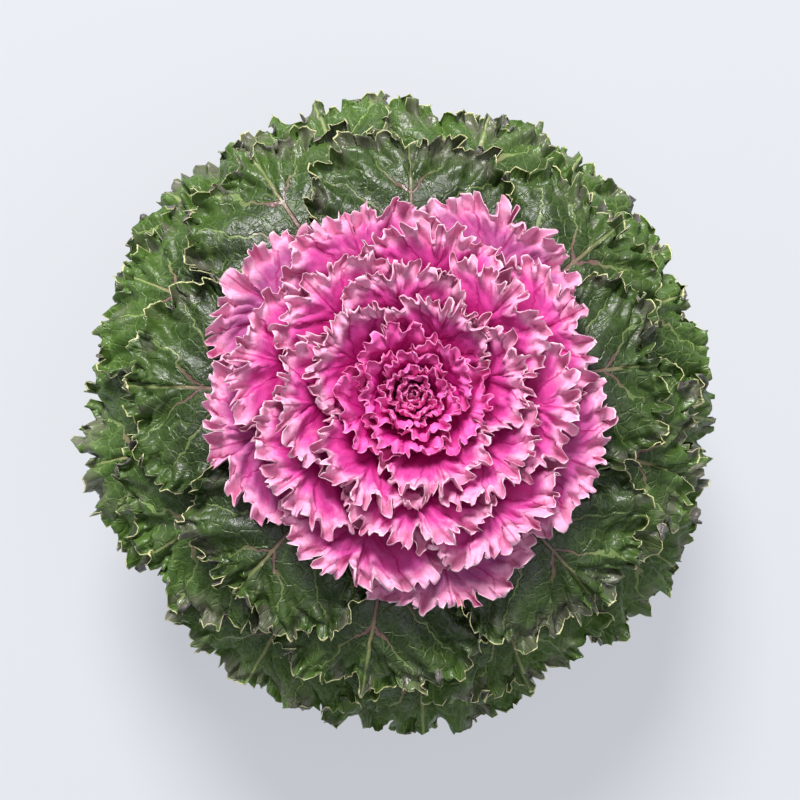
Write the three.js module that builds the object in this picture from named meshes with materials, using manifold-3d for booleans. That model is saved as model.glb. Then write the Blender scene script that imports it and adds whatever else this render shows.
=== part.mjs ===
// Ornamental kale in a plain nursery pot. Millimetres, +Z up, origin at the centre of the pot's flat base.
//
// The plant is a short woody stem that ends in a conical crown. Broad green leaves leave its lower half,
// pink leaves its upper half, and a tight heart of small leaves closes the top. The leaves follow one spiral,
// each turned by the golden angle from the last. Every leaf lies in its own shell around the plant's axis,
// one inside the other, so that neighbours overlap in plan and never touch.
import * as THREE from "three";
import { mergeVertices } from "three/addons/utils/BufferGeometryUtils.js";
import Module from "manifold-3d";

const wasm = await Module();
wasm.setup();

// ---- Driving dimensions ----

const GAP = 0.3; // between pieces that touch on the real plant
const GOLDEN_ANGLE = Math.PI * (3 - Math.sqrt(5));
const DEGREE = Math.PI / 180;

const POT = {
  height: 112,
  baseRadius: 52,
  rimRadius: 73,
  rimHeight: 14,
  rimStep: 2.5,
  rimRound: 1,
  wall: 2.2,
  floor: 2.4,
  drainRadius: 5,
  drainCircle: 36,
  drains: 6,
};
const SOIL = { top: 98, crown: 4, lump: 1.2, lumpWidth: 22, holeRadius: 13.6, holeDepth: 30 };
const STEM = { foot: 72, neckRadius: 12.5, crownZ: 122, crownRadius: 17, topZ: 159, topRadius: 8 };
const BUD = { topZ: 196, topRadius: 3.5 };

// A whorl is a run of leaves from the outermost to the innermost. Each pair holds the values at its two ends.
//   firstTurn         place of its first leaf in the plant's spiral
//   seatZ             height at which the midrib leaves the axis
//   length, hold      from seat to tip along the midrib; a higher hold keeps more leaves near the first one
//   petiole           share of the length that is bare stalk
//   leaveAngle        of the stalk above the horizontal, and tipAngle at the tip, in degrees
//   ribDepth          depth of the keel under the midrib at the seat and at the tip
//   reach             furthest that a blade wraps round the axis to each side, in radians
//   waves, waveHeight of the ruffled margin
//   teeth             of the margin, as a share of the blade's width
//   columns, rows     facets round the margin, and where the rows lie from the midrib out to it
const GREEN = {
  name: "green_leaf",
  count: 22,
  firstTurn: 0,
  seatZ: [118, 141],
  length: [176, 136],
  hold: 1.4,
  petiole: [0.34, 0.36],
  halfWidth: [74, 62],
  leaveAngle: [18, 43],
  tipAngle: [-62, -38],
  petioleHalfWidth: 4.6,
  ribDepth: [4.6, 1.2],
  blade: 1,
  reach: 0.62,
  waves: 9,
  waveHeight: [7, 4.5],
  teeth: 0.045,
  columns: 24,
  rows: [0, 0.6, 1],
};
const PINK = {
  name: "pink_leaf",
  count: 24,
  firstTurn: 22,
  seatZ: [144, 159.5],
  length: [114, 74],
  hold: 1.4,
  petiole: [0.25, 0.18],
  halfWidth: [56, 37],
  leaveAngle: [50, 72],
  tipAngle: [-19, 30],
  petioleHalfWidth: 3.6,
  ribDepth: [1.8, 0.8],
  blade: 0.9,
  reach: 0.72,
  waves: 8,
  waveHeight: [3.4, 2],
  teeth: 0.06,
  columns: 18,
  rows: [0, 0.6, 1],
};
const HEART = {
  name: "pink_heart",
  count: 22,
  firstTurn: 46,
  seatZ: [162.5, 182],
  length: [64, 18],
  hold: 1,
  petiole: [0.17, 0.05],
  halfWidth: [36, 5],
  leaveAngle: [74, 90],
  tipAngle: [33, 112],
  petioleHalfWidth: 3,
  ribDepth: [1.2, 0.8],
  blade: 0.8,
  reach: 0.8,
  waves: 4,
  waveHeight: [3.6, 1],
  teeth: 0.08,
  columns: 10,
  rows: [0, 0.6, 1],
};

// How far the numbers of single leaves stray from their whorl's run.
const STRAY = { length: 0.012, halfWidth: 0.06, azimuth: 0.05, tipAngle: 1, waveHeight: 0.2 };
// Shape of a blade: fullness of its sides, roundness of its tip, and how its side veins lean forward.
const BLADE = { fullness: 0.6, roundness: 0.8, veinReach: 0.72, veinLean: 1.9 };
// Shape of the ruffle: its growth from the midrib out, its height beside the stalk against that at the tip,
// and how soon it starts past the stalk.
const RUFFLE = { growth: 1.8, atStalk: 0.3, start: 3 };
const SEAT_DEPTH = 1.5; // of a stalk's midline inside the axis, before its seat is cut

const COLOURS = {
  pot: { color: 0x2d2f2e, roughness: 0.55 },
  soil: { color: 0x2e2119, roughness: 0.95 },
  stem: { color: 0x8b8a5c, roughness: 0.75 },
  green: { color: 0x4b6b34, roughness: 0.5 },
  pink: { color: 0xd06aa2, roughness: 0.55 },
};

// ---- Small helpers ----

const mix = ([a, b], share) => a + (b - a) * share;

// A repeatable draw between -1 and 1 for one leaf and one of its features.
function draw(leaf, feature) {
  const wave = Math.sin(leaf * 12.9898 + feature * 78.233) * 43758.5453;
  return 2 * (wave - Math.floor(wave)) - 1;
}

function toSolid(geometry) {
  const bare = geometry.index ? geometry.toNonIndexed() : geometry.clone();
  bare.deleteAttribute("normal");
  bare.deleteAttribute("uv");
  const merged = mergeVertices(bare, 1e-4);
  return new wasm.Manifold(
    new wasm.Mesh({
      numProp: 3,
      vertProperties: merged.attributes.position.array,
      triVerts: new Uint32Array(merged.index.array),
    }),
  );
}

function toMesh(name, solid, { color, roughness }) {
  const { vertProperties, triVerts } = solid.getMesh();
  const geometry = new THREE.BufferGeometry();
  geometry.setAttribute("position", new THREE.BufferAttribute(vertProperties, 3));
  geometry.setIndex(new THREE.BufferAttribute(triVerts, 1));
  geometry.computeVertexNormals();
  const material = new THREE.MeshStandardMaterial({ color, roughness, metalness: 0 });
  const mesh = new THREE.Mesh(geometry, material);
  mesh.name = name;
  return mesh;
}

// A surface of revolution about Z from [radius, z] points, listed from the lowest on the axis to the highest.
function lathe(points, sides) {
  const profile = points.map(([radius, z]) => new THREE.Vector2(radius, z));
  return new THREE.LatheGeometry(profile, sides).rotateX(Math.PI / 2);
}

// An upright round cutter centred on a point.
function boreCutter(radius, length, sides, x, y, z) {
  const cylinder = new THREE.CylinderGeometry(radius, radius, length, sides);
  return toSolid(cylinder.rotateX(Math.PI / 2).translate(x, y, z));
}

// The largest body of a joined solid, without the small hollows that joining seals off.
function outerBody(solid) {
  return solid.decompose().reduce((best, body) => (body.volume() > best.volume() ? body : best));
}

// ---- Pot, soil and stem ----

function potOuterRadius(z) {
  return POT.baseRadius + (POT.rimRadius - POT.rimStep - POT.baseRadius) * (z / POT.height);
}

function potInnerRadius(z) {
  return potOuterRadius(z) - POT.wall;
}

function makePot() {
  const { height, baseRadius, rimRadius, rimRound, floor, drainRadius, drainCircle, drains } = POT;
  const shoulder = height - POT.rimHeight;
  const profile = [
    [0, 0],
    [baseRadius, 0],
    [potOuterRadius(shoulder), shoulder],
    [rimRadius - rimRound, shoulder],
    [rimRadius, height - rimRound],
    [rimRadius - rimRound, height],
    [potInnerRadius(height), height],
    [potInnerRadius(floor), floor],
    [0, floor],
  ];
  let pot = toSolid(lathe(profile, 48));
  for (let i = 0; i < drains; i++) {
    const turn = (i / drains) * 2 * Math.PI;
    const [x, y] = [drainCircle * Math.cos(turn), drainCircle * Math.sin(turn)];
    pot = pot.subtract(boreCutter(drainRadius, 4 * floor, 12, x, y, 0));
  }
  return toMesh("pot", pot, COLOURS.pot);
}

// The soil fills the pot. Its top is lumpy and heaped towards the stem, which stands in a plain hole.
function makeSoil() {
  const bottom = POT.floor + GAP;
  const bottomRadius = potInnerRadius(bottom) - GAP;
  const rim = potInnerRadius(SOIL.top) - GAP;
  const rings = [rim, rim * 0.72, rim * 0.46, 0].map((radius) => [radius, SOIL.top]);
  const geometry = lathe([[0, bottom], [bottomRadius, bottom], ...rings], 30);
  const place = geometry.attributes.position;
  for (let i = 0; i < place.count; i++) {
    const [x, y, z] = [place.getX(i), place.getY(i), place.getZ(i)];
    const inward = 1 - Math.hypot(x, y) / rim;
    if (z < SOIL.top - GAP || inward < 0.01) continue;
    const [u, v] = [x, y].map((side) => (2 * Math.PI * side) / SOIL.lumpWidth);
    place.setZ(i, z + SOIL.crown * inward + SOIL.lump * Math.sin(u + 1) * Math.cos(v));
  }
  const hole = boreCutter(SOIL.holeRadius, 2 * SOIL.holeDepth, 20, 0, 0, SOIL.top);
  return toMesh("soil", toSolid(geometry).subtract(hole), COLOURS.soil);
}

// Radius of the plant's axis at a height: a neck that swells to the crown and tapers to the stem's top, and
// above it the heart's bud, which carries the taper on.
function axisRadius(z) {
  const { neckRadius, crownZ, crownRadius, topZ, topRadius } = STEM;
  if (z <= crownZ) {
    const rise = THREE.MathUtils.smoothstep(z, SOIL.top, crownZ);
    return neckRadius + (crownRadius - neckRadius) * rise;
  }
  if (z <= topZ) return mix([crownRadius, topRadius], ((z - crownZ) / (topZ - crownZ)) ** 1.3);
  return mix([topRadius, BUD.topRadius], Math.min((z - topZ) / (BUD.topZ - topZ), 1) ** 2);
}

// A stretch of the axis as a solid, grown outwards by a clearance where it is used to cut the leaves' seats.
function axisSolid(bottom, top, clearance) {
  const steps = Math.ceil((top - bottom) / 6);
  const points = [[0, bottom - clearance]];
  for (let i = 0; i <= steps; i++) {
    const z = bottom + ((top - bottom) * i) / steps;
    const end = i === 0 ? -clearance : i === steps ? clearance : 0;
    points.push([axisRadius(z) + clearance, z + end]);
  }
  points.push([0, top + clearance]);
  return toSolid(lathe(points, 20));
}

// ---- Leaves ----

// The numbers of one leaf: those of its whorl at its place in the spiral, with small seeded departures.
function leafSpec(whorl, index) {
  const share = index / (whorl.count - 1);
  const turn = whorl.firstTurn + index;
  const length = mix(whorl.length, share ** whorl.hold) * (1 + STRAY.length * draw(turn, 1));
  const petiole = mix(whorl.petiole, share) * length;
  return {
    whorl,
    length,
    petiole,
    bladeLength: length - petiole,
    halfWidth: mix(whorl.halfWidth, share) * (1 + STRAY.halfWidth * draw(turn, 2)),
    azimuth: turn * GOLDEN_ANGLE + STRAY.azimuth * draw(turn, 3),
    seatZ: mix(whorl.seatZ, share),
    leaveAngle: mix(whorl.leaveAngle, share) * DEGREE,
    tipAngle: (mix(whorl.tipAngle, share) + STRAY.tipAngle * draw(turn, 4)) * DEGREE,
    wavePhase: Math.PI * draw(turn, 5),
    waveHeight: mix(whorl.waveHeight, share) * (1 + STRAY.waveHeight * draw(turn, 6)),
  };
}

// The midrib in its own upright plane: straight along the stalk, then one arc to the tip.
function midrib(leaf, along) {
  const { petiole, bladeLength, leaveAngle, tipAngle, seatZ } = leaf;
  const straight = Math.min(along, petiole);
  let radius = axisRadius(seatZ) - SEAT_DEPTH + straight * Math.cos(leaveAngle);
  let height = seatZ + straight * Math.sin(leaveAngle);
  let angle = leaveAngle;
  if (along > petiole) {
    const bend = bladeLength / (leaveAngle - tipAngle);
    angle = leaveAngle - (along - petiole) / bend;
    radius += bend * (Math.sin(leaveAngle) - Math.sin(angle));
    height += bend * (Math.cos(angle) - Math.cos(leaveAngle));
  }
  return { radius, height, angle };
}

// A point of the leaf's sheet, lifted off its smooth shape. Across the leaf the sheet wraps round the axis.
function sheetPoint(leaf, along, across, lift) {
  const { radius, height, angle } = midrib(leaf, along);
  const { reach } = leaf.whorl;
  const wrapRadius = Math.max(radius, 3) * reach;
  const out = radius - lift * Math.sin(angle);
  const turn = leaf.azimuth + reach * Math.tanh(across / wrapRadius);
  return new THREE.Vector3(out * Math.cos(turn), out * Math.sin(turn), height + lift * Math.cos(angle));
}

// The outline in flat leaf coordinates. Round goes from 0 at the left of the stalk's foot, over the tip at
// 0.5, to 1 on the right. Gives the margin point, the midrib point that its side vein leaves, and how far up
// the blade it is.
function outline(leaf, round, stalkEnd) {
  const { whorl, petiole, bladeLength, halfWidth } = leaf;
  const side = round <= 0.5 ? -1 : 1;
  const half = round <= 0.5 ? round : 1 - round;
  if (half < stalkEnd) {
    const along = (petiole * half) / stalkEnd;
    return { rib: along, along, across: side * whorl.petioleHalfWidth, blade: 0 };
  }
  const blade = (half - stalkEnd) / (0.5 - stalkEnd);
  const swell = Math.max(Math.sin(Math.PI * blade), 0) ** BLADE.fullness;
  const forward = ((1 - Math.cos(Math.PI * blade)) / 2) ** BLADE.roundness;
  const neck = whorl.petioleHalfWidth * (1 - blade) ** 3;
  return {
    rib: petiole + BLADE.veinReach * bladeLength * blade ** BLADE.veinLean,
    along: petiole + bladeLength * forward,
    across: side * (neck + halfWidth * swell),
    blade,
  };
}

// How far the sheet stands off its smooth shape: waves that grow towards the margin and towards the tip.
function standOff(leaf, round, out, blade) {
  const { growth, atStalk, start } = RUFFLE;
  const grow = Math.min(blade * start, 1) * (atStalk + (1 - atStalk) * blade ** 2) * out ** growth;
  return grow * leaf.waveHeight * Math.sin(2 * Math.PI * leaf.whorl.waves * round + leaf.wavePhase);
}

// One closed leaf: a sheet of columns that run from the midrib to the margin, with a keel under the midrib.
// The left and right columns share the midrib's points.
function leafSolid(leaf) {
  const { columns, rows, teeth, blade, ribDepth } = leaf.whorl;
  const stalkEnd = 2 / columns;
  const half = columns / 2;
  const points = [];
  const depths = [];
  for (let j = 0; j <= half; j++) {
    const { rib } = outline(leaf, j / columns, stalkEnd);
    points.push(sheetPoint(leaf, rib, 0, 0));
    depths.push(mix(ribDepth, rib / leaf.length));
  }
  for (let j = 0; j <= columns; j++) {
    const round = j / columns;
    const edge = outline(leaf, round, stalkEnd);
    const tooth = edge.blade > 0 ? 1 + teeth * (j % 2 ? 1 : -1) : 1;
    for (let k = 1; k < rows.length; k++) {
      const out = rows[k] * (k === rows.length - 1 ? tooth : 1);
      const along = edge.rib + (edge.along - edge.rib) * out;
      points.push(sheetPoint(leaf, along, edge.across * out, standOff(leaf, round, rows[k], edge.blade)));
      depths.push(blade);
    }
  }
  const at = (j, k) => (k === 0 ? Math.min(j, columns - j) : half + 1 + j * (rows.length - 1) + k - 1);
  const faces = [];
  for (let j = 0; j < columns; j++) {
    for (let k = 0; k < rows.length - 1; k++) {
      const [a, b, c, d] = [at(j, k), at(j, k + 1), at(j + 1, k + 1), at(j + 1, k)];
      faces.push([a, b, c], [a, c, d]);
    }
  }
  return toSolid(thicken(points, faces, depths, blade / 2));
}

// Turns an open sheet into a closed one: the same rise above every point, the rest of its depth below, both
// along the sheet's own normals.
function thicken(points, faces, depths, rise) {
  const normals = points.map(() => new THREE.Vector3());
  const normal = new THREE.Vector3();
  for (const [a, b, c] of faces) {
    new THREE.Triangle(points[a], points[b], points[c]).getNormal(normal);
    for (const i of [a, b, c]) normals[i].add(normal);
  }
  for (const direction of normals) direction.normalize();
  const above = points.map((point, i) => point.clone().addScaledVector(normals[i], -rise));
  const below = points.map((point, i) => point.clone().addScaledVector(normals[i], depths[i] - rise));
  const n = points.length;
  const index = [];
  const edges = new Map();
  for (const [a, b, c] of faces) {
    index.push(a, c, b, n + a, n + b, n + c);
    for (const [from, to] of [[a, b], [b, c], [c, a]]) edges.set(`${from},${to}`, [from, to]);
  }
  for (const [from, to] of edges.values()) {
    if (!edges.has(`${to},${from}`)) index.push(from, to, n + to, from, n + to, n + from);
  }
  return new THREE.BufferGeometry().setFromPoints([...above, ...below]).setIndex(index);
}

// ---- Assembly ----

const kale = new THREE.Group();
kale.add(makePot(), makeSoil());
kale.add(toMesh("stem", axisSolid(STEM.foot, STEM.topZ, 0), COLOURS.stem));

const axisCutter = axisSolid(STEM.foot, BUD.topZ, GAP);
for (const [whorl, look] of [[GREEN, COLOURS.green], [PINK, COLOURS.pink]]) {
  for (let i = 0; i < whorl.count; i++) {
    const leaf = leafSolid(leafSpec(whorl, i)).subtract(axisCutter);
    kale.add(toMesh(`${whorl.name}_${String(i + 1).padStart(2, "0")}`, leaf, look));
  }
}

// The heart's leaves grow out of the bud as one body.
let heart = axisSolid(STEM.topZ + GAP, BUD.topZ, 0);
for (let i = 0; i < HEART.count; i++) heart = heart.add(leafSolid(leafSpec(HEART, i)));
heart = heart.subtract(axisSolid(STEM.foot, STEM.topZ, GAP));
kale.add(toMesh(HEART.name, outerBody(heart), COLOURS.pink));

export default kale;
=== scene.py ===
"""Looks for the ornamental kale in its nursery pot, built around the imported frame. Metres, +Z up.

Every leaf is one closed thin sheet on the same spiral and in the same shell as its CAD node, with the fine frill
that the node leaves out. Leaf sizes are in millimetres, as the object's own source has them, and turned to metres
where a mesh is made.
"""
import math
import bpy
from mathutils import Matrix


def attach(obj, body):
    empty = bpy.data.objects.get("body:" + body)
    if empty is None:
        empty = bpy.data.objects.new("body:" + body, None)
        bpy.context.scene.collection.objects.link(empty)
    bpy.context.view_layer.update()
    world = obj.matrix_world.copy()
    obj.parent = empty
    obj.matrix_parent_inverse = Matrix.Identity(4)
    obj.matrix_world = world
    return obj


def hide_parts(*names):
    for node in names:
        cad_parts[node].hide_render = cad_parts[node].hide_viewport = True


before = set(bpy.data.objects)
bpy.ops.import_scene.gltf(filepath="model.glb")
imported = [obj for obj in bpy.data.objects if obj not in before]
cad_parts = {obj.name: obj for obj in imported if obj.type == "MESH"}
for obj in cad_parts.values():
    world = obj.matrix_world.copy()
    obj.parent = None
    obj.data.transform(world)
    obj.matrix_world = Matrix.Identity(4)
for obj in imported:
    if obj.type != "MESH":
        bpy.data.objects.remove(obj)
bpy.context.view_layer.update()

from types import SimpleNamespace

import bpy
import numpy as np
from mathutils import Matrix, Vector

MM = 0.001
GOLDEN_ANGLE = math.pi * (3 - math.sqrt(5))
TAU = 2 * math.pi

# ---- The plant's axis, in millimetres ----

SOIL_TOP = 98
STEM = dict(neck_radius=12.5, crown_z=122, crown_radius=17, top_z=159, top_radius=8)
BUD = dict(top_z=196, top_radius=3.5)
SEAT_DEPTH = 1.5

# ---- Whorls ----

# A whorl is a run of leaves from the outermost to the innermost. Pairs hold the values at its two ends.
#   first_turn   place of its first leaf in the plant's spiral
#   seat_z       height at which the midrib leaves the axis
#   length, hold from seat to tip along the midrib; a higher hold keeps more leaves near the first one
#   petiole      share of the length that is bare stalk
#   leave_angle  of the stalk above the horizontal, and tip_angle at the tip, in degrees
#   rib_depth    depth of the keel under the midrib at the seat and at the tip
#   reach        furthest that a blade wraps round the axis to each side, in radians
#   waves        of the CAD node's ruffled margin, and wave_height their height
#   stalk_end    share of the way round the leaf that each side of the stalk takes up
#   spread       powers that make the blade full at its sides and round at its tip
# The rest is the fine form. Its lengths are those on the whorl's first leaf, and shrink with the leaf's size.
#   columns      of the mesh along the margin, a multiple of 24
#   side_veins   on each side of the midrib
#   folds        (wavelength, height, fade, lean) of each size of fold: the distance from the margin over which
#                it fades, and the share of its height that it also moves within the blade
#   lobes        (width, length, fade) of each size of lobe
#   tooth        mean length of the fine teeth
#   curl         (zone, angle, swing, flutter): how wide a margin curls, by what angle in radians, and how much
#                that angle changes slowly and quickly along the margin
#   ripple       (wavelength, height, fade) of the ripples that run along the margin
GREEN = dict(
    name="green_leaf", count=22, first_turn=0, seat_z=(118, 141), length=(176, 136), hold=1.4,
    petiole=(0.34, 0.36), half_width=(74, 62), leave_angle=(18, 43), tip_angle=(-62, -38),
    stalk_half_width=4.6, rib_depth=(4.6, 1.2), blade=0.7, reach=0.8, waves=9, wave_height=(7, 4.5),
    stalk_end=2 / 24, spread=(0.55, 0.75), columns=384, side_veins=7,
    folds=((27, 6, 20, 0.1), (10.5, 5.2, 11, 0.15), (5.6, 2.6, 6, 0.2)),
    lobes=((28, 5, 26), (8.5, 2.6, 7)), tooth=1.0, curl=(13, 0.9, 0.8, 0.9), ripple=(15, 2.4, 26),
)
PINK = dict(
    name="pink_leaf", count=24, first_turn=22, seat_z=(144, 159.5), length=(114, 74), hold=1.4,
    petiole=(0.25, 0.18), half_width=(59, 41), leave_angle=(50, 72), tip_angle=(-19, 30),
    stalk_half_width=3.6, rib_depth=(1.8, 0.8), blade=0.6, reach=1.1, waves=8, wave_height=(3.4, 2),
    stalk_end=2 / 18, spread=(0.5, 0.65), columns=360, side_veins=8,
    folds=((21, 4.6, 14, 0.1), (9.5, 4.8, 8.5, 0.15), (5.2, 2.8, 5, 0.2)),
    lobes=((22, 3.0, 20), (7, 2.4, 6)), tooth=0.7, curl=(11, 0.4, 0.7, 0.8), ripple=(12, 2.4, 22),
)
HEART = dict(
    name="pink_heart", count=22, first_turn=46, seat_z=(162.5, 182), length=(64, 18), hold=1,
    petiole=(0.17, 0.05), half_width=(36, 11), leave_angle=(74, 90), tip_angle=(33, 128),
    stalk_half_width=3, rib_depth=(1.2, 0.8), blade=0.5, reach=1.5, waves=4, wave_height=(3.6, 1),
    stalk_end=2 / 10, spread=(0.5, 0.65), columns=240, side_veins=7,
    folds=((17, 3.0, 15, 0), (7, 2.0, 8, 0), (3.8, 0.9, 4, 0.1)),
    lobes=((16, 2.6, 14), (5.5, 1, 4)), tooth=1.0, curl=(8, 0.2, 0.3, 0.4), ripple=(9, 1.3, 12),
)

# Seeded departures of one leaf: shares of its length, width and wave height, radians round the axis, degrees.
STRAY = dict(length=0.012, half_width=0.06, azimuth=0.05, tip_angle=1, wave_height=0.2)
BLADE = dict(vein_reach=0.72, vein_lean=1.9)
RUFFLE = dict(growth=1.8, at_stalk=0.3, start=3)

# ---- Fine form that all leaves share ----

# The room that a leaf may fill: a share of the gap to the leaf above and below it, less a clearance.
ROOM = dict(share=(0.4, 0.6), clearance=(0.4, 0.3), least=(0.2, 0.3), flattest=0.25, per_radius=0.16, at_axis=0.2)
GAP = dict(widest=40, inside_margin=4, past_margin=5)
# Gap above a point, in millimetres, over which the shade painted under a close leaf above fades out.
COVERED = (2, 9)
CURL = dict(most_of_vein=0.45, own=0.3, swings=7, flutter_length=20)
FOLD = dict(
    wander=1.6, wander_waves=5, uneven=0.5, uneven_waves=3.3, swell=0.8, meander=0.6, meander_limit=2.5,
    bumps=0.8, bump_start=(0.3, 1), bump_waves=1.7, bump_height=1.2, bump_wander=2.2, lean_limit=0.4,
)
LOBE = dict(roundness=0.6, middle=0.7, wander=1.2, wander_waves=4)
RIPPLE = dict(wander=0.4, wander_length=24, lean=0.6, lean_start=(2, 6), swell=0.7)
TOOTH = dict(columns=3, shortest=0.3, spread=1.2, middle=0.4, fade=1.8)
QUILT_HEIGHT = 0.8
KEPT_LOBES = 0.3
MARGIN_THIN = dict(start=0.8, loss=0.6)

# Rows of a leaf's mesh from the midrib out to the margin, and how many of the margin's columns each one skips.
ROWS = (
    [(v, 4) for v in (0, 0.04, 0.09, 0.18, 0.30, 0.42)]
    + [(v, 2) for v in (0.52, 0.61, 0.69, 0.76, 0.82)]
    + [(v, 1) for v in (0.87, 0.91, 0.943, 0.967, 0.985, 1)]
)


def mix(pair, share):
    return pair[0] + (pair[1] - pair[0]) * share


def smooth_step(x, low, high):
    x = np.clip((x - low) / (high - low), 0, 1)
    return x * x * (3 - 2 * x)


def draw(leaf, feature):
    """A repeatable draw between -1 and 1 for one leaf and one of its features."""
    wave = math.sin(leaf * 12.9898 + feature * 78.233) * 43758.5453
    return 2 * (wave - math.floor(wave)) - 1


def drift(leaf, around, feature, bends):
    """A smooth seeded curve between about -1 and 1 that bends a few times round the margin."""
    total = 0
    for step, weight in ((1, 0.5), (1.73, 0.3), (2.9, 0.2)):
        phase = math.pi * draw(leaf["turn"], feature + step)
        total = total + weight * np.sin(TAU * bends * step * around + phase)
    return total


# ---- Smooth shape of a leaf, as in the part's source ----


def axis_radius(z):
    if z <= STEM["crown_z"]:
        x = min(max((z - SOIL_TOP) / (STEM["crown_z"] - SOIL_TOP), 0), 1)
        return mix((STEM["neck_radius"], STEM["crown_radius"]), x * x * (3 - 2 * x))
    if z <= STEM["top_z"]:
        share = (z - STEM["crown_z"]) / (STEM["top_z"] - STEM["crown_z"])
        return mix((STEM["crown_radius"], STEM["top_radius"]), share**1.3)
    share = min((z - STEM["top_z"]) / (BUD["top_z"] - STEM["top_z"]), 1)
    return mix((STEM["top_radius"], BUD["top_radius"]), share**2)


def leaf_spec(whorl, index):
    """The numbers of one leaf: those of its whorl at its place in the spiral, with small seeded departures."""
    share = index / (whorl["count"] - 1)
    turn = whorl["first_turn"] + index
    length = mix(whorl["length"], share ** whorl["hold"]) * (1 + STRAY["length"] * draw(turn, 1))
    petiole = mix(whorl["petiole"], share) * length
    tip = mix(whorl["tip_angle"], share) + STRAY["tip_angle"] * draw(turn, 4)
    return dict(
        whorl,
        turn=turn,
        share=share,
        size=(length / whorl["length"][0]) ** 0.5,
        length=length,
        petiole=petiole,
        blade_length=length - petiole,
        half_width=mix(whorl["half_width"], share) * (1 + STRAY["half_width"] * draw(turn, 2)),
        azimuth=turn * GOLDEN_ANGLE + STRAY["azimuth"] * draw(turn, 3),
        seat_z=mix(whorl["seat_z"], share),
        leave_angle=math.radians(mix(whorl["leave_angle"], share)),
        tip_angle=math.radians(tip),
        wave_phase=math.pi * draw(turn, 5),
        wave_height=mix(whorl["wave_height"], share) * (1 + STRAY["wave_height"] * draw(turn, 6)),
    )


def midrib(leaf, along):
    """Radius, height and slope of the midrib: straight along the stalk, then one arc to the tip."""
    leave = leaf["leave_angle"]
    bend = leaf["blade_length"] / (leave - leaf["tip_angle"])
    straight = np.minimum(along, leaf["petiole"])
    angle = leave - np.maximum(along - leaf["petiole"], 0) / bend
    radius = axis_radius(leaf["seat_z"]) - SEAT_DEPTH + straight * math.cos(leave)
    radius = radius + bend * (math.sin(leave) - np.sin(angle))
    height = leaf["seat_z"] + straight * math.sin(leave) + bend * (np.cos(angle) - math.cos(leave))
    return radius, height, angle


def sheet_points(leaf, along, across, lift):
    """Points of the leaf's sheet, lifted off its smooth shape. Across the leaf it wraps round the plant's axis."""
    radius, height, angle = midrib(leaf, along)
    wrap_radius = np.maximum(radius, 3) * leaf["reach"]
    out = radius - lift * np.sin(angle)
    turn = leaf["azimuth"] + leaf["reach"] * np.tanh(across / wrap_radius)
    return np.stack([out * np.cos(turn), out * np.sin(turn), height + lift * np.cos(angle)], axis=-1)


def outline(leaf, around):
    """The margin and the midrib point of each side vein, in flat leaf coordinates, and how far up the blade it is.
    around goes from 0 at the left of the stalk's foot, over the tip at 0.5, to 1 on the right."""
    end = leaf["stalk_end"]
    side = np.where(around <= 0.5, -1.0, 1.0)
    half = np.minimum(around, 1 - around)
    blade = np.clip((half - end) / (0.5 - end), 0, 1)
    stalk = np.minimum(half / end, 1) * leaf["petiole"]
    swell = np.maximum(np.sin(math.pi * blade), 0) ** leaf["spread"][0]
    forward = ((1 - np.cos(math.pi * blade)) / 2) ** leaf["spread"][1]
    rib = stalk + BLADE["vein_reach"] * leaf["blade_length"] * blade ** BLADE["vein_lean"]
    along = stalk + leaf["blade_length"] * forward
    across = side * (leaf["stalk_half_width"] * (1 - blade) ** 3 + leaf["half_width"] * swell)
    return rib, along, across, blade


def margin_run(leaf):
    """Places round the leaf and the length of margin up to each, with the stalk's sides counted at a third."""
    around = np.linspace(0, 1, 1201)
    _, along, across, blade = outline(leaf, around)
    pace = np.hypot(np.diff(along), np.diff(across)) * np.where((blade[1:] + blade[:-1]) > 0, 1, 0.33)
    return around, np.concatenate([[0], np.cumsum(pace)])


# ---- Room between neighbouring leaves ----


def leaf_chart(leaf):
    """Tables of the smooth leaf by the midrib's radius: its height and the half width of its blade."""
    along = np.linspace(0, leaf["length"], 160)
    radius, height, _ = midrib(leaf, along)
    last = int(np.argmax(radius)) + 1
    _, edge_along, edge_across, _ = outline(leaf, np.linspace(0.5, 1, 200))
    half_width = np.interp(along, edge_along[::-1], edge_across[::-1])
    return dict(radius=radius[:last], height=height[:last], half_width=half_width[:last])


def gap_to(points, others, side):
    """How far each point is from the nearest of the other leaves above it (side 1) or below it (side -1). The gap
    opens quickly past the margin of such a leaf."""
    radius = np.hypot(points[:, 0], points[:, 1])
    azimuth = np.arctan2(points[:, 1], points[:, 0])
    gap = np.full(len(points), float(GAP["widest"]))
    for other, chart in others:
        turn = (azimuth - other["azimuth"] + math.pi) % TAU - math.pi
        wrap = np.arctanh(np.clip(np.abs(turn) / other["reach"], 0, 0.9999))
        across = np.maximum(radius, 3) * other["reach"] * wrap
        height = np.interp(radius, chart["radius"], chart["height"])
        past_side = across - np.interp(radius, chart["radius"], chart["half_width"])
        past = np.maximum(past_side, radius - chart["radius"][-1])
        opening = GAP["widest"] * smooth_step(past, -GAP["inside_margin"], GAP["past_margin"])
        gap = np.minimum(gap, np.maximum(side * (height - points[:, 2]), 0) + opening)
    return gap


def room_round(smooth, slope, above, below):
    """How high and how low the leaf may swell at each point, and how wide the gap above it is."""
    gaps = gap_to(smooth, above, 1), gap_to(smooth, below, -1)
    level = np.maximum(np.cos(slope), ROOM["flattest"])
    most = ROOM["per_radius"] * np.hypot(smooth[:, 0], smooth[:, 1]) + ROOM["at_axis"]
    highest, lowest = (
        np.clip(ROOM["share"][i] * level * gaps[i] - ROOM["clearance"][i], ROOM["least"][i], most) for i in (0, 1)
    )
    return highest, lowest, gaps[0]


# ---- Fine form of a leaf ----

# Each function below takes the leaf and at, its mesh's points: place and around (along the margin by length and
# by share), out and from_margin, blade (0 at its foot, 1 at its tip), vein_length, run (the margin's length),
# size, and free, which goes to 0 at the midrib and at the stalk.


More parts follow.
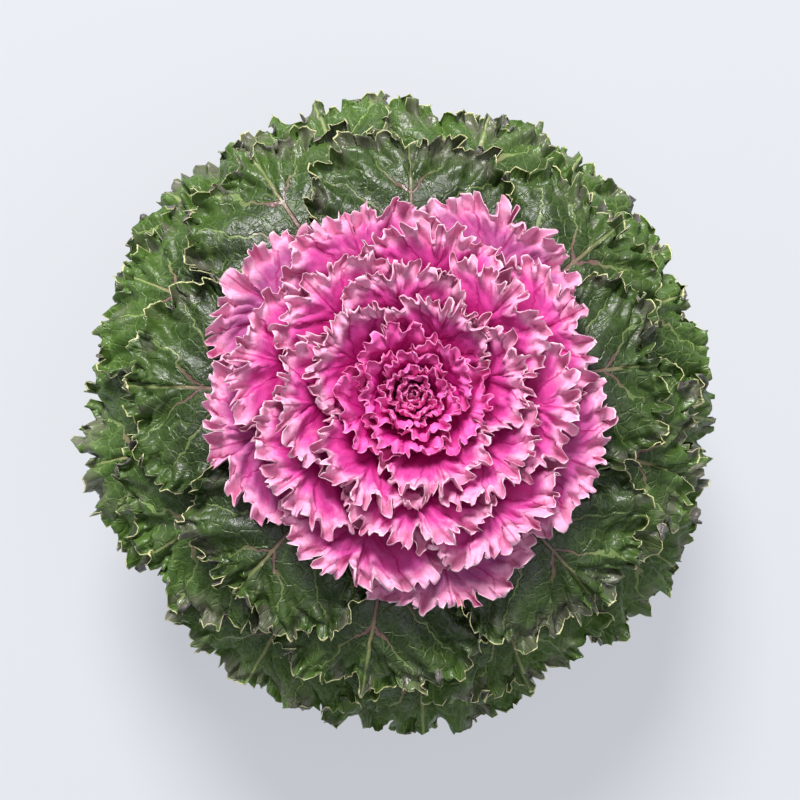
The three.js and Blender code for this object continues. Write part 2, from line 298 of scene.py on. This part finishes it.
def curl(leaf, at):
    """The curl of the margin: by what angle a point has turned, and how far that pushes it out and lifts it."""
    zone, angle, swing, flutter = leaf["curl"]
    zone = np.minimum(zone * at.size, CURL["most_of_vein"] * at.vein_length)
    angle = angle + CURL["own"] * draw(leaf["turn"], 9) + swing * drift(leaf, at.around, 10, CURL["swings"])
    flutters = at.run / (CURL["flutter_length"] * at.size)
    angle = (angle + flutter * drift(leaf, at.place, 15, flutters)) * np.clip(at.blade * 5, 0, 1)
    angle = np.where(np.abs(angle) < 1e-3, 1e-3, angle)
    bent = np.clip(1 - at.from_margin / zone, 0, 1)
    turn = angle * bent
    push = zone * (np.sin(turn) / angle - bent)
    return turn, push, zone * (1 - np.cos(turn)) / angle


def folds(leaf, at):
    """How far the folds rise off the sheet, reach ahead and slide along the margin, and the swell they need."""
    slide, ahead, rise, swell = 0, 0, 0, 0
    for k, (wave, height, depth, lean) in enumerate(leaf["folds"]):
        wave_size = wave * at.size
        waves = at.run / wave_size
        phase = TAU * waves * at.place + math.pi * draw(leaf["turn"], 20 + k)
        phase = phase + FOLD["wander"] * drift(leaf, at.place, 30 + 5 * k, waves / FOLD["wander_waves"])
        uneven = 1 + FOLD["uneven"] * drift(leaf, at.place, 50 + 5 * k, waves / FOLD["uneven_waves"])
        fold = height * at.size * uneven * at.free * np.exp(-at.from_margin / (depth * at.size))
        inward = at.from_margin / (FOLD["bump_waves"] * wave * at.size) + at.place
        bumps = FOLD["bumps"] * smooth_step(at.from_margin / wave_size, *FOLD["bump_start"])
        bumps = bumps * drift(leaf, inward, 80 + 5 * k, 1)
        fold = fold * (1 + FOLD["bump_height"] * bumps)
        phase = phase + FOLD["bump_wander"] * bumps
        swell = swell + FOLD["swell"] * np.abs(fold)
        rise = rise + fold * np.sin(phase)
        ahead = ahead - lean * fold * np.sin(phase)
        turned_over = np.tanh(FOLD["meander_limit"] * fold / wave_size)
        slide = slide - FOLD["meander"] * wave * at.size / TAU * turned_over * np.sin(2 * phase)
    crown = leaf["folds"][0][1] * at.size
    most_ahead = FOLD["lean_limit"] * crown
    rise = crown * np.tanh(rise / crown)
    swell = crown * np.tanh(swell / crown)
    return rise, most_ahead * np.tanh(ahead / most_ahead), slide, swell


def lobes(leaf, at, ahead):
    """Adds the lobes to how far each point reaches ahead."""
    for k, (wave, length, depth) in enumerate(leaf["lobes"]):
        waves = at.run / (wave * at.size)
        wander = drift(leaf, at.place, 70 + 5 * k, waves / LOBE["wander_waves"])
        phase = math.pi * waves * at.place + LOBE["wander"] * wander
        lobe = np.abs(np.cos(phase)) ** LOBE["roundness"] - LOBE["middle"]
        ahead = ahead + 2 * length * at.size * lobe * at.free * np.exp(-at.from_margin / (depth * at.size))
    return ahead


def ripples(leaf, at):
    """How far the ripples rise and reach ahead, and the swell they need."""
    wave, height, depth = leaf["ripple"]
    wander = drift(leaf, at.place, 90, at.run / (RIPPLE["wander_length"] * at.size))
    turns = at.from_margin / (wave * at.size) + RIPPLE["wander"] * wander
    ripple = height * at.size * at.free * np.exp(-at.from_margin / (depth * at.size))
    rise = ripple * np.cos(TAU * turns)
    lean = RIPPLE["lean"] * ripple * np.cos(TAU * turns) * smooth_step(at.from_margin, *RIPPLE["lean_start"])
    return rise, lean, RIPPLE["swell"] * ripple


def teeth(leaf, at):
    """How far the fine teeth of uneven length reach ahead."""
    tooth = at.place * leaf["columns"] / TOOTH["columns"]
    point = 1 - np.abs(np.sin(math.pi * tooth))
    chance = np.sin(np.floor(tooth + 0.5) * 91.7 + leaf["turn"]) * 437.58
    length = leaf["tooth"] * (TOOTH["shortest"] + TOOTH["spread"] * (chance - np.floor(chance)))
    fade = np.exp(-at.from_margin / TOOTH["fade"])
    return at.free * at.size**0.5 * length * (point - TOOTH["middle"]) * fade


def leaf_surface(leaf, place, out, above, below):
    """The finished mid-surface of a leaf, in millimetres, and the distances that its colours follow, with cover,
    how much shade is painted where another leaf lies close above.
    """
    step = 1e-3
    places, run = margin_run(leaf)
    around = np.interp(place * run[-1], run, places)
    rib, along, across, blade = outline(leaf, around)
    rib_next, along_next, across_next, _ = outline(leaf, np.minimum(around + step, 1))
    rib_last, along_last, across_last, _ = outline(leaf, np.maximum(around - step, 0))
    vein = np.stack([along - rib, across])
    vein_length = np.maximum(np.hypot(*vein), 1e-6)
    vein = vein / vein_length
    tangent = np.stack([along_next - along_last, across_next - across_last])
    tangent = tangent / np.maximum(np.hypot(*tangent), 1e-6)
    at = SimpleNamespace(
        place=place, around=around, out=out, blade=blade, vein_length=vein_length, size=leaf["size"],
        from_margin=(1 - out) * vein_length, run=run[-1],
        free=np.clip(blade * 5, 0, 1) * np.clip(out * 4, 0, 1),
    )

    grow = np.minimum(blade * RUFFLE["start"], 1)
    grow = grow * (RUFFLE["at_stalk"] + (1 - RUFFLE["at_stalk"]) * blade**2) * out ** RUFFLE["growth"]
    lift = grow * leaf["wave_height"] * np.sin(TAU * leaf["waves"] * around + leaf["wave_phase"])
    smooth_along = rib + vein[0] * out * vein_length
    smooth = sheet_points(leaf, smooth_along, vein[1] * out * vein_length, 0)
    highest, lowest, gap_above = room_round(smooth, midrib(leaf, smooth_along)[2], above, below)

    turn, push, curl_lift = curl(leaf, at)
    lift = lift + curl_lift
    quilt = QUILT_HEIGHT * np.cos(TAU * leaf["side_veins"] * 2 * around)
    lift = lift + quilt * out * (1 - out) * 4 * at.free
    rise, ahead, slide, swell = folds(leaf, at)
    ahead = lobes(leaf, at, ahead)
    ripple_rise, ripple_lean, ripple_swell = ripples(leaf, at)
    rise, ahead, swell = rise + ripple_rise, ahead + ripple_lean, swell + ripple_swell
    fit = np.minimum(0.5 * (highest + lowest) / np.maximum(swell, 0.1), 1)
    rise, slide, swell = rise * fit, slide * fit, swell * fit
    ahead = ahead * (KEPT_LOBES + (1 - KEPT_LOBES) * fit) + teeth(leaf, at)
    push = push + ahead * np.cos(turn) - rise * np.sin(turn)
    lift = np.maximum(np.minimum(lift, highest - swell), swell - lowest)
    lift = lift + ahead * np.sin(turn) + rise * np.cos(turn)
    reach = out * vein_length + push
    flat_along = rib + vein[0] * reach + tangent[0] * slide
    flat_across = vein[1] * reach + tangent[1] * slide
    points = sheet_points(leaf, flat_along, flat_across, lift)

    row_along = (1 - out) * (rib_next - rib_last) + out * (along_next - along_last)
    row_length = np.hypot(row_along, out * (across_next - across_last)) / (2 * step)
    fold_height = 0.5 * sum(height for _, height, _, _ in leaf["folds"]) * at.size
    return points, dict(
        along=flat_along, across=flat_across, edge=at.from_margin, gap=row_length / (2 * leaf["side_veins"]),
        vein=np.minimum(around, 1 - around) * 2 * leaf["side_veins"], fold=rise / fold_height,
        # How much shade is painted on this point because another leaf lies close above it.
        cover=1 - smooth_step(gap_above, *COVERED),
    )


def rib_thickness(leaf, along, across):
    """How far the underside stands below the blade: a round keel under the stalk and midrib that tapers out."""
    share = np.clip(along / leaf["length"], 0, 1)
    half_width = leaf["stalk_half_width"] * (1 - 0.8 * share) + 0.3
    inside = np.clip(1 - (across / half_width) ** 2, 0, 1)
    return mix(leaf["rib_depth"], share) * np.sqrt(inside)


# ---- Meshes ----


def leaf_faces(columns):
    """Triangles of one side of a leaf, the place of each vertex as (place, out), and the margin's vertices. The
    first row lies on the midrib, which both halves of the leaf share."""
    place, out, starts, counts = [], [], [], []
    total = 0
    for k, (v, part) in enumerate(ROWS):
        count = columns // part
        last = count // 2 if k == 0 else count
        starts.append(total)
        counts.append(count)
        place.append(np.arange(last + 1) / count)
        out.append(np.full(last + 1, v))
        total += last + 1
    faces = []
    for k in range(len(ROWS) - 1):
        near, far = counts[k], counts[k + 1]
        j = np.arange(near)

        def inner(i):
            return starts[k] + (np.minimum(i, near - i) if k == 0 else i)

        ratio = far // near
        a, e = inner(j), inner(j + 1)
        b, d = starts[k + 1] + ratio * j, starts[k + 1] + ratio * (j + 1)
        if ratio == 1:
            faces += [np.stack([a, b, d], 1), np.stack([a, d, e], 1)]
        else:
            c = b + 1
            faces += [np.stack([a, b, c], 1), np.stack([a, c, e], 1), np.stack([c, d, e], 1)]
    rim = starts[-1] + np.arange(counts[-1] + 1)
    return np.concatenate(faces), np.concatenate(place), np.concatenate(out), rim


def vertex_normals(points, faces):
    a, b, c = (points[faces[:, i]] for i in range(3))
    face_normals = np.cross(b - a, c - a)
    normals = np.zeros_like(points)
    for i in range(3):
        np.add.at(normals, faces[:, i], face_normals)
    return normals / np.maximum(np.linalg.norm(normals, axis=1, keepdims=True), 1e-12)


def make_mesh(name, points, faces, uvs, values, material):
    """A smooth mesh of triangles in metres, with UV maps given per corner and plain numbers given per vertex."""
    mesh = bpy.data.meshes.new(name)
    mesh.vertices.add(len(points))
    mesh.vertices.foreach_set("co", (points * MM).astype(np.float32).ravel())
    mesh.loops.add(faces.size)
    mesh.loops.foreach_set("vertex_index", faces.astype(np.int32).ravel())
    mesh.polygons.add(len(faces))
    mesh.polygons.foreach_set("loop_start", np.arange(0, faces.size, 3, dtype=np.int32))
    mesh.polygons.foreach_set("use_smooth", np.ones(len(faces), dtype=bool))
    for uv_name, uv in uvs.items():
        layer = mesh.uv_layers.new(name=uv_name)
        layer.data.foreach_set("uv", uv.astype(np.float32).ravel())
    for value_name, value in values.items():
        attribute = mesh.attributes.new(value_name, "FLOAT", "POINT")
        attribute.data.foreach_set("value", value.astype(np.float32))
    mesh.update(calc_edges=True)
    mesh.validate()
    mesh.materials.append(material)
    piece = bpy.data.objects.new(name, mesh)
    bpy.context.scene.collection.objects.link(piece)
    return piece


def leaf_chart_uv(leaf, at):
    """The flattened leaf in the left half of the UV square, with a margin all round it."""
    width = 4.4 * (leaf["half_width"] + 20)
    return np.stack([0.25 + at["across"] / width, (at["along"] + 4) / (leaf["length"] + 24)], 1)


def make_leaf(leaf, above, below, name, node, material):
    """One leaf as a closed thin sheet: its upper side, its underside with the rib's keel, and the rim between."""
    faces, place, out, rim = leaf_faces(leaf["columns"])
    points, at = leaf_surface(leaf, place, out, above, below)
    normals = vertex_normals(points, faces)
    half = leaf["blade"] / 2 * (1 - MARGIN_THIN["loss"] * smooth_step(out, MARGIN_THIN["start"], 1))
    upper = points + half[:, None] * normals
    lower = points - (half + rib_thickness(leaf, at["along"], at["across"]))[:, None] * normals
    n = len(points)
    edge_from = np.concatenate([rim[:-1], [0, rim[-1]]])
    edge_to = np.concatenate([rim[1:], [rim[0], 0]])
    walls = np.concatenate(
        [np.stack([edge_from, edge_to + n, edge_to], 1), np.stack([edge_from, edge_from + n, edge_to + n], 1)]
    )
    all_faces = np.concatenate([faces, faces[:, ::-1] + n, walls])

    uv = leaf_chart_uv(leaf, at)
    corners = np.concatenate([uv[faces], uv[faces[:, ::-1]] + (0.5, 0), uv[walls % n]])
    at.update(
        out=out, share=at["along"] / leaf["length"],
        seed=np.full(n, leaf["turn"] * 7.31), age=np.full(n, leaf["share"]),
    )
    values = {key: np.concatenate([value, value]) for key, value in at.items()}
    values["under"] = np.concatenate([np.zeros(n), np.ones(n)])
    piece = make_mesh(name, np.concatenate([upper, lower]), all_faces, {"OFBake": corners}, values, material)
    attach(piece, "root")
    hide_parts(node)


# ---- Materials ----


class Nodes:
    """Short ways to lay nodes in one material. Each call returns an output socket."""

    def __init__(self, name):
        self.material = bpy.data.materials.new(name)
        self.material.use_nodes = True
        self.tree = self.material.node_tree
        self.shader = self.tree.nodes["Principled BSDF"]

    def add(self, kind, **settings):
        node = self.tree.nodes.new(kind)
        for key, value in settings.items():
            setattr(node, key, value)
        return node

    def put(self, socket, value):
        if isinstance(value, bpy.types.NodeSocket):
            self.tree.links.new(value, socket)
        elif socket.type == "RGBA" and len(value) == 3:
            socket.default_value = (*value, 1)
        else:
            socket.default_value = value

    def surface(self, colour, roughness, normal=None, specular=0.5):
        self.put(self.shader.inputs["Base Color"], colour)
        self.put(self.shader.inputs["Roughness"], roughness)
        if normal is not None:
            self.put(self.shader.inputs["Normal"], normal)
        self.shader.inputs["Specular IOR Level"].default_value = specular
        return self.material

    def value(self, name):
        return self.add("ShaderNodeAttribute", attribute_name=name).outputs["Fac"]

    def math(self, operation, *values):
        node = self.add("ShaderNodeMath", operation=operation)
        for socket, value in zip(node.inputs, values):
            self.put(socket, value)
        return node.outputs[0]

    def times(self, first, second):
        return self.math("MULTIPLY", first, second)

    def most(self, first, second):
        return self.math("MAXIMUM", first, second)

    def ramp(self, value, low, high, to_low=0.0, to_high=1.0):
        """A smooth step from to_low at low to to_high at high."""
        node = self.add("ShaderNodeMapRange", interpolation_type="SMOOTHSTEP")
        for socket, number in zip(node.inputs, (value, low, high, to_low, to_high)):
            self.put(socket, number)
        return node.outputs["Result"]

    def blend(self, share, first, second):
        node = self.add("ShaderNodeMix", data_type="RGBA")
        self.put(node.inputs[0], share)
        self.put(node.inputs[6], first)
        self.put(node.inputs[7], second)
        return node.outputs[2]

    def vector(self, x, y, z):
        node = self.add("ShaderNodeCombineXYZ")
        for socket, value in zip(node.inputs, (x, y, z)):
            self.put(socket, value)
        return node.outputs[0]

    def noise(self, place, scale, detail=3.0, roughness=0.55, output="Fac"):
        node = self.add("ShaderNodeTexNoise")
        self.put(node.inputs["Vector"], place)
        node.inputs["Scale"].default_value = scale
        node.inputs["Detail"].default_value = detail
        node.inputs["Roughness"].default_value = roughness
        return node.outputs[output]

    def net(self, place, scale, feature="DISTANCE_TO_EDGE"):
        node = self.add("ShaderNodeTexVoronoi", feature=feature)
        self.put(node.inputs["Vector"], place)
        node.inputs["Scale"].default_value = scale
        return node.outputs["Distance"]

    def bump(self, height, distance, strength=1.0):
        node = self.add("ShaderNodeBump")
        self.put(node.inputs["Height"], height)
        node.inputs["Distance"].default_value = distance
        node.inputs["Strength"].default_value = strength
        return node.outputs[0]


# In leaf materials, places, edge distances and vein widths are in millimetres, and noise scales are per millimetre.


def leaf_place(n):
    """Flat leaf coordinates in millimetres with a third that differs from leaf to leaf, bent a little by noise."""
    flat = n.vector(n.value("across"), n.value("along"), n.value("seed"))
    shift = n.add("ShaderNodeVectorMath", operation="MULTIPLY_ADD")
    n.put(shift.inputs[0], n.noise(flat, 0.11, detail=2, roughness=0.5, output="Color"))
    shift.inputs[1].default_value = (5, 5, 0)
    n.put(shift.inputs[2], flat)
    return flat, shift.outputs[0]


def vein_masks(n, bent, net_size, side_width, rib_width):
    """Masks of the midrib, the side veins, the net between them and a finer net, each 1 on the vein."""
    out = n.value("out")
    bend = n.times(n.math("SUBTRACT", n.noise(bent, 0.06), 0.5), 0.8)
    phase = n.math("ADD", n.value("vein"), bend)
    off = n.math("ABSOLUTE", n.math("SUBTRACT", n.math("FRACT", phase), 0.5))
    distance = n.times(off, n.value("gap"))
    width = n.math("MULTIPLY_ADD", out, -0.75 * side_width, side_width)
    side = n.ramp(n.math("SUBTRACT", distance, width), 0.0, 0.5, 1.0, 0.0)
    side = n.times(side, n.ramp(out, 0.93, 0.8))
    rib_off = n.math("ABSOLUTE", n.value("across"))
    rib_half = n.math("MULTIPLY_ADD", n.value("share"), -0.8 * rib_width, rib_width)
    rib = n.ramp(n.math("SUBTRACT", rib_off, rib_half), -0.2, 0.6, 1.0, 0.0)
    net = n.ramp(n.net(bent, 1 / net_size), 0.01, 0.07, 1.0, 0.0)
    fine = n.ramp(n.net(bent, 2.7 / net_size), 0.03, 0.16, 1.0, 0.0)
    return rib, side, net, fine


def leaf_relief(n, flat, veins, depth):
    """Sunken veins and the pillowed skin between them, as one bump."""
    skin = n.times(n.noise(flat, 0.35), 0.9)
    return n.bump(n.math("MULTIPLY_ADD", veins, -0.9, skin), depth, 0.8)


# In GREEN_COLOURS, the colours used at the leaf's foot, on the inner leaves and under a close leaf above are
# painted shade.
GREEN_COLOURS = dict(
    dark=(0.012, 0.03, 0.004), light=(0.032, 0.075, 0.01), tip=(0.11, 0.21, 0.035), patch=(0.17, 0.14, 0.13),
    fine_net=(0.2, 0.3, 0.09), net=(0.16, 0.26, 0.06), side_vein=(0.27, 0.38, 0.12),
    side_vein_foot=(0.31, 0.13, 0.15), rib=(0.34, 0.11, 0.15), rib_tip=(0.3, 0.38, 0.13),
    foot=(0.01, 0.006, 0.005), painted_shade_inner=(0.008, 0.012, 0.006), painted_shade_close_leaf=(0.008, 0.012, 0.004),
    back=(0.11, 0.12, 0.09), back_patch=(0.15, 0.125, 0.13), back_vein=(0.32, 0.3, 0.22), rim=(0.72, 0.7, 0.36),
)
PINK_COLOURS = dict(
    deep=(0.4, 0.005, 0.14), middle=(0.66, 0.07, 0.35), pale=(0.88, 0.42, 0.62), rim=(0.95, 0.73, 0.8),
    mauve=(0.36, 0.1, 0.27),
)
HEART_COLOURS = dict(
    deep=(0.5, 0.002, 0.18), middle=(0.74, 0.025, 0.36), pale=(0.88, 0.16, 0.5), rim=(0.93, 0.42, 0.68),
    mauve=(0.5, 0.03, 0.22),
)


def green_material():
    """Dark green with pale veins, a purple midrib, greyish purple patches near the margin and a cream rim.
    Shade is painted darker towards the leaf's foot, on the inner leaves and where another leaf lies close above.
    """
    n = Nodes("green_leaf")
    look = GREEN_COLOURS
    flat, bent = leaf_place(n)
    rib, side, net, fine = vein_masks(n, bent, 7.5, 0.75, 1.9)
    edge, share = n.value("edge"), n.value("share")
    tone = n.noise(flat, 0.03)
    colour = n.blend(n.ramp(tone, 0.35, 0.65), look["dark"], look["light"])
    colour = n.blend(n.ramp(share, 0.75, 1.0), colour, n.blend(0.6, colour, look["tip"]))
    patch = n.times(n.ramp(n.noise(flat, 0.055, detail=4), 0.47, 0.6), n.ramp(edge, 24.0, 6.0))
    colour = n.blend(n.times(patch, 0.75), colour, look["patch"])
    colour = n.blend(n.times(fine, 0.16), colour, look["fine_net"])
    colour = n.blend(n.times(net, 0.4), colour, look["net"])
    vein_colour = n.blend(n.ramp(n.value("out"), 0.55, 0.1), look["side_vein"], look["side_vein_foot"])
    colour = n.blend(n.times(side, 0.75), colour, vein_colour)
    colour = n.blend(n.times(rib, 0.9), colour, n.blend(n.ramp(share, 0.6, 0.95), look["rib"], look["rib_tip"]))
    # Painted shade: darker towards the leaf's foot, under the pink head.
    colour = n.blend(n.ramp(share, 0.85, 0.5), colour, n.blend(0.65, colour, look["foot"]))
    # Painted shade: the inner green leaves, next to the pink head, turn darker.
    colour = n.blend(n.ramp(n.value("age"), 0.35, 1.0, 0.0, 0.45), colour, look["painted_shade_inner"])
    # Painted shade: darker where another leaf lies close above.
    colour = n.blend(n.times(n.value("cover"), 0.6), colour, look["painted_shade_close_leaf"])
    back = n.blend(n.ramp(tone, 0.3, 0.7), look["back"], look["back_patch"])
    back = n.blend(n.times(n.most(rib, side), 0.7), back, look["back_vein"])
    colour = n.blend(n.value("under"), colour, back)
    colour = n.blend(n.times(n.ramp(edge, 0.75, 0.3), 0.9), colour, look["rim"])
    roughness = n.ramp(n.noise(flat, 0.12), 0.3, 0.7, 0.26, 0.48)
    veins = n.most(n.most(rib, side), n.times(net, 0.45))
    return n.surface(colour, roughness, leaf_relief(n, flat, veins, 0.0009))


def pink_material(name, look, shade):
    """Deep at the leaf's foot, middle over its blade and pale at the frill. The outermost leaves lean to mauve.
    Shade is painted darker, by shade, where another leaf lies close above and deep in the troughs of the folds, and
    a highlight is painted pale on their crests."""
    n = Nodes(name)
    flat, bent = leaf_place(n)
    rib, side, net, fine = vein_masks(n, bent, 4.2, 0.45, 1.2)
    edge, fold = n.value("edge"), n.value("fold")
    tone = n.noise(flat, 0.06, detail=4)
    streak_place = n.vector(n.times(n.value("vein"), 3.0), n.times(n.value("out"), 3.0), n.value("seed"))
    streak = n.math("SUBTRACT", n.noise(streak_place, 1.0, detail=4), 0.5)
    tone = n.math("MULTIPLY_ADD", streak, 0.7, tone)
    wavy_edge = n.math("ADD", edge, n.times(n.math("SUBTRACT", tone, 0.5), 8.0))
    colour = n.blend(n.ramp(wavy_edge, 30.0, 10.0), look["deep"], look["middle"])
    outer = n.times(n.ramp(n.value("age"), 0.35, 0.0), n.ramp(edge, 3.0, 12.0))
    colour = n.blend(n.times(outer, 0.85), colour, look["mauve"])
    # Painted highlight: the crests of the folds near the frill turn pale, as where light falls on them.
    painted_crest_highlight = n.times(n.ramp(fold, 0.1, 0.7), n.ramp(edge, 20.0, 6.0))
    colour = n.blend(n.most(n.ramp(wavy_edge, 15.0, 4.0), n.times(painted_crest_highlight, 0.8)), colour, look["pale"])
    colour = n.blend(n.times(n.most(n.times(fine, 0.5), net), 0.22), colour, look["middle"])
    colour = n.blend(n.times(net, n.ramp(edge, 5.0, 18.0, 0.0, 0.3)), colour, look["deep"])
    colour = n.blend(n.times(n.most(side, rib), 0.65), colour, look["deep"])
    colour = n.blend(n.times(n.ramp(edge, 1.2, 0.2), 0.7), colour, look["rim"])
    # Painted shade: the troughs of the folds turn deep.
    colour = n.blend(n.ramp(fold, 0.0, -0.9, 0.0, 0.5), colour, look["deep"])
    # Painted shade: darker, by shade, where another leaf lies close above.
    dark = tuple(0.6 * channel for channel in look["deep"])
    colour = n.blend(n.times(n.value("cover"), shade), colour, dark)
    colour = n.blend(n.value("under"), colour, n.blend(0.35, colour, look["pale"]))
    roughness = n.ramp(n.noise(flat, 0.15), 0.3, 0.7, 0.4, 0.6)
    return n.surface(colour, roughness, leaf_relief(n, flat, n.most(rib, side), 0.0004), specular=0.18)


# The pot, the soil and the stem have object coordinates in metres.


def pot_material():
    """Black nursery plastic with scuffs, a fine grain and soil dust."""
    n = Nodes("pot_plastic")
    place = n.add("ShaderNodeTexCoord").outputs["Object"]
    grain = n.noise(place, 900.0, detail=2)
    scuffs = n.noise(place, 60.0, detail=5)
    dust = n.ramp(n.noise(place, 14.0, detail=6, roughness=0.65), 0.5, 0.75)
    colour = n.blend(n.ramp(scuffs, 0.45, 0.75), (0.016, 0.017, 0.017), (0.034, 0.034, 0.033))
    colour = n.blend(n.times(dust, 0.35), colour, (0.13, 0.11, 0.09))
    roughness = n.ramp(n.math("ADD", scuffs, dust), 0.3, 1.2, 0.36, 0.75)
    return n.surface(colour, roughness, n.bump(grain, 0.0002, 0.4))


def soil_material():
    """Dark crumbs and clods with grains of white perlite."""
    n = Nodes("soil")
    place = n.add("ShaderNodeTexCoord").outputs["Object"]
    crumbs = n.noise(place, 260.0, detail=6, roughness=0.7)
    clods = n.net(place, 190.0, "F1")
    colour = n.blend(n.ramp(crumbs, 0.35, 0.7), (0.014, 0.009, 0.006), (0.085, 0.05, 0.03))
    colour = n.blend(n.ramp(clods, 0.3, 0.7), colour, (0.008, 0.005, 0.004))
    perlite = n.ramp(n.noise(place, 330.0, detail=1), 0.69, 0.73)
    height = n.math("MULTIPLY_ADD", clods, -1.2, n.math("ADD", crumbs, n.times(perlite, 0.4)))
    return n.surface(n.blend(perlite, colour, (0.72, 0.7, 0.65)), 0.95, n.bump(height, 0.003))


def stem_material():
    """Pale green bark that turns woody, with the scars of fallen leaves."""
    n = Nodes("stem")
    place = n.add("ShaderNodeTexCoord").outputs["Object"]
    bark = n.noise(place, 140.0, detail=5)
    scars = n.ramp(n.net(place, 75.0), 0.0, 0.12, 1.0, 0.0)
    colour = n.blend(n.ramp(bark, 0.35, 0.7), (0.15, 0.14, 0.065), (0.36, 0.34, 0.19))
    colour = n.blend(n.times(scars, 0.7), colour, (0.075, 0.055, 0.03))
    roughness = n.ramp(bark, 0.3, 0.7, 0.55, 0.8)
    return n.surface(colour, roughness, n.bump(n.math("MULTIPLY_ADD", scars, -0.8, bark), 0.0012))


# ---- The plant ----

whorls = (
    (GREEN, green_material()),
    (PINK, pink_material("pink_leaf", PINK_COLOURS, 0.75)),
    (HEART, pink_material("pink_heart", HEART_COLOURS, 0.4)),
)
leaves = []
for whorl, material in whorls:
    for i in range(whorl["count"]):
        node = "pink_heart" if whorl is HEART else f"{whorl['name']}_{i + 1:02d}"
        name = f"heart_leaf_{i + 1:02d}" if whorl is HEART else f"fine_{node}"
        leaf = leaf_spec(whorl, i)
        leaves.append((leaf, leaf_chart(leaf), name, node, whorl["name"], material))
for i, (leaf, _, name, node, slot, material) in enumerate(leaves):
    above = [(other, chart) for other, chart, *_ in leaves[i + 1 :]]
    below = [(other, chart) for other, chart, *_ in leaves[:i]]
    make_leaf(leaf, above, below, name, node, material)

for node, material in (("pot", pot_material()), ("soil", soil_material()), ("stem", stem_material())):
    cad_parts[node].data.materials.clear()
    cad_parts[node].data.materials.append(material)

# ---- Floor, light and camera, in metres ----

FLOOR = dict(half_side=8.0, colour=(0.23, 0.24, 0.25, 1), roughness=0.9, glow=(0.9, 0.93, 1, 1), glow_strength=0.51)
LIT = (0, 0, 0.15)
WORLD = dict(colour=(0.86, 0.9, 0.95, 1), strength=0.27)
CAMERA = dict(aim=(-0.003, 0.002, 0.15), away=(-0.065, -0.085, 1), distance=1.04, lens=90, sensor=36)


def make_floor():
    mesh = bpy.data.meshes.new("floor")
    r = FLOOR["half_side"]
    mesh.from_pydata([(-r, -r, 0), (r, -r, 0), (r, r, 0), (-r, r, 0)], [], [(0, 1, 2, 3)])
    floor = bpy.data.objects.new("floor", mesh)
    bpy.context.scene.collection.objects.link(floor)
    look = Nodes("floor")
    look.shader.inputs["Base Color"].default_value = FLOOR["colour"]
    look.shader.inputs["Roughness"].default_value = FLOOR["roughness"]
    look.shader.inputs["Emission Color"].default_value = FLOOR["glow"]
    look.shader.inputs["Emission Strength"].default_value = FLOOR["glow_strength"]
    mesh.materials.append(look.material)


def area_light(name, place, size, power, colour):
    light = bpy.data.lights.new(name, "AREA")
    light.shape = "DISK"
    light.size = size
    light.energy = power
    light.color = colour
    lamp = bpy.data.objects.new(name, light)
    lamp.location = place
    lamp.rotation_euler = (Vector(LIT) - Vector(place)).to_track_quat("-Z", "Y").to_euler()
    bpy.context.scene.collection.objects.link(lamp)


def make_world():
    world = bpy.data.worlds.new("studio")
    world.use_nodes = True
    background = world.node_tree.nodes["Background"]
    background.inputs["Color"].default_value = WORLD["colour"]
    background.inputs["Strength"].default_value = WORLD["strength"]
    bpy.context.scene.world = world


def make_camera():
    """The photo's view, from nearly straight above, with the photo's upward direction along +Y."""
    lens = bpy.data.cameras.new("camera")
    lens.lens = CAMERA["lens"]
    lens.sensor_width = CAMERA["sensor"]
    camera = bpy.data.objects.new("camera", lens)
    away = Vector(CAMERA["away"]).normalized()
    right = Vector((0, 1, 0)).cross(away).normalized()
    camera.location = Vector(CAMERA["aim"]) + CAMERA["distance"] * away
    camera.rotation_mode = "QUATERNION"
    camera.rotation_quaternion = Matrix((right, away.cross(right), away)).transposed().to_quaternion()
    bpy.context.scene.collection.objects.link(camera)
    bpy.context.scene.camera = camera


make_floor()
area_light("key", (-0.63, 2.6, 3.3), 1.7, 250, (1, 0.99, 0.97))
area_light("fill", (0.5, -0.5, 2.4), 2.4, 14, (0.97, 0.985, 1))
make_world()
make_camera()
bpy.context.scene.view_settings.view_transform = "Standard"
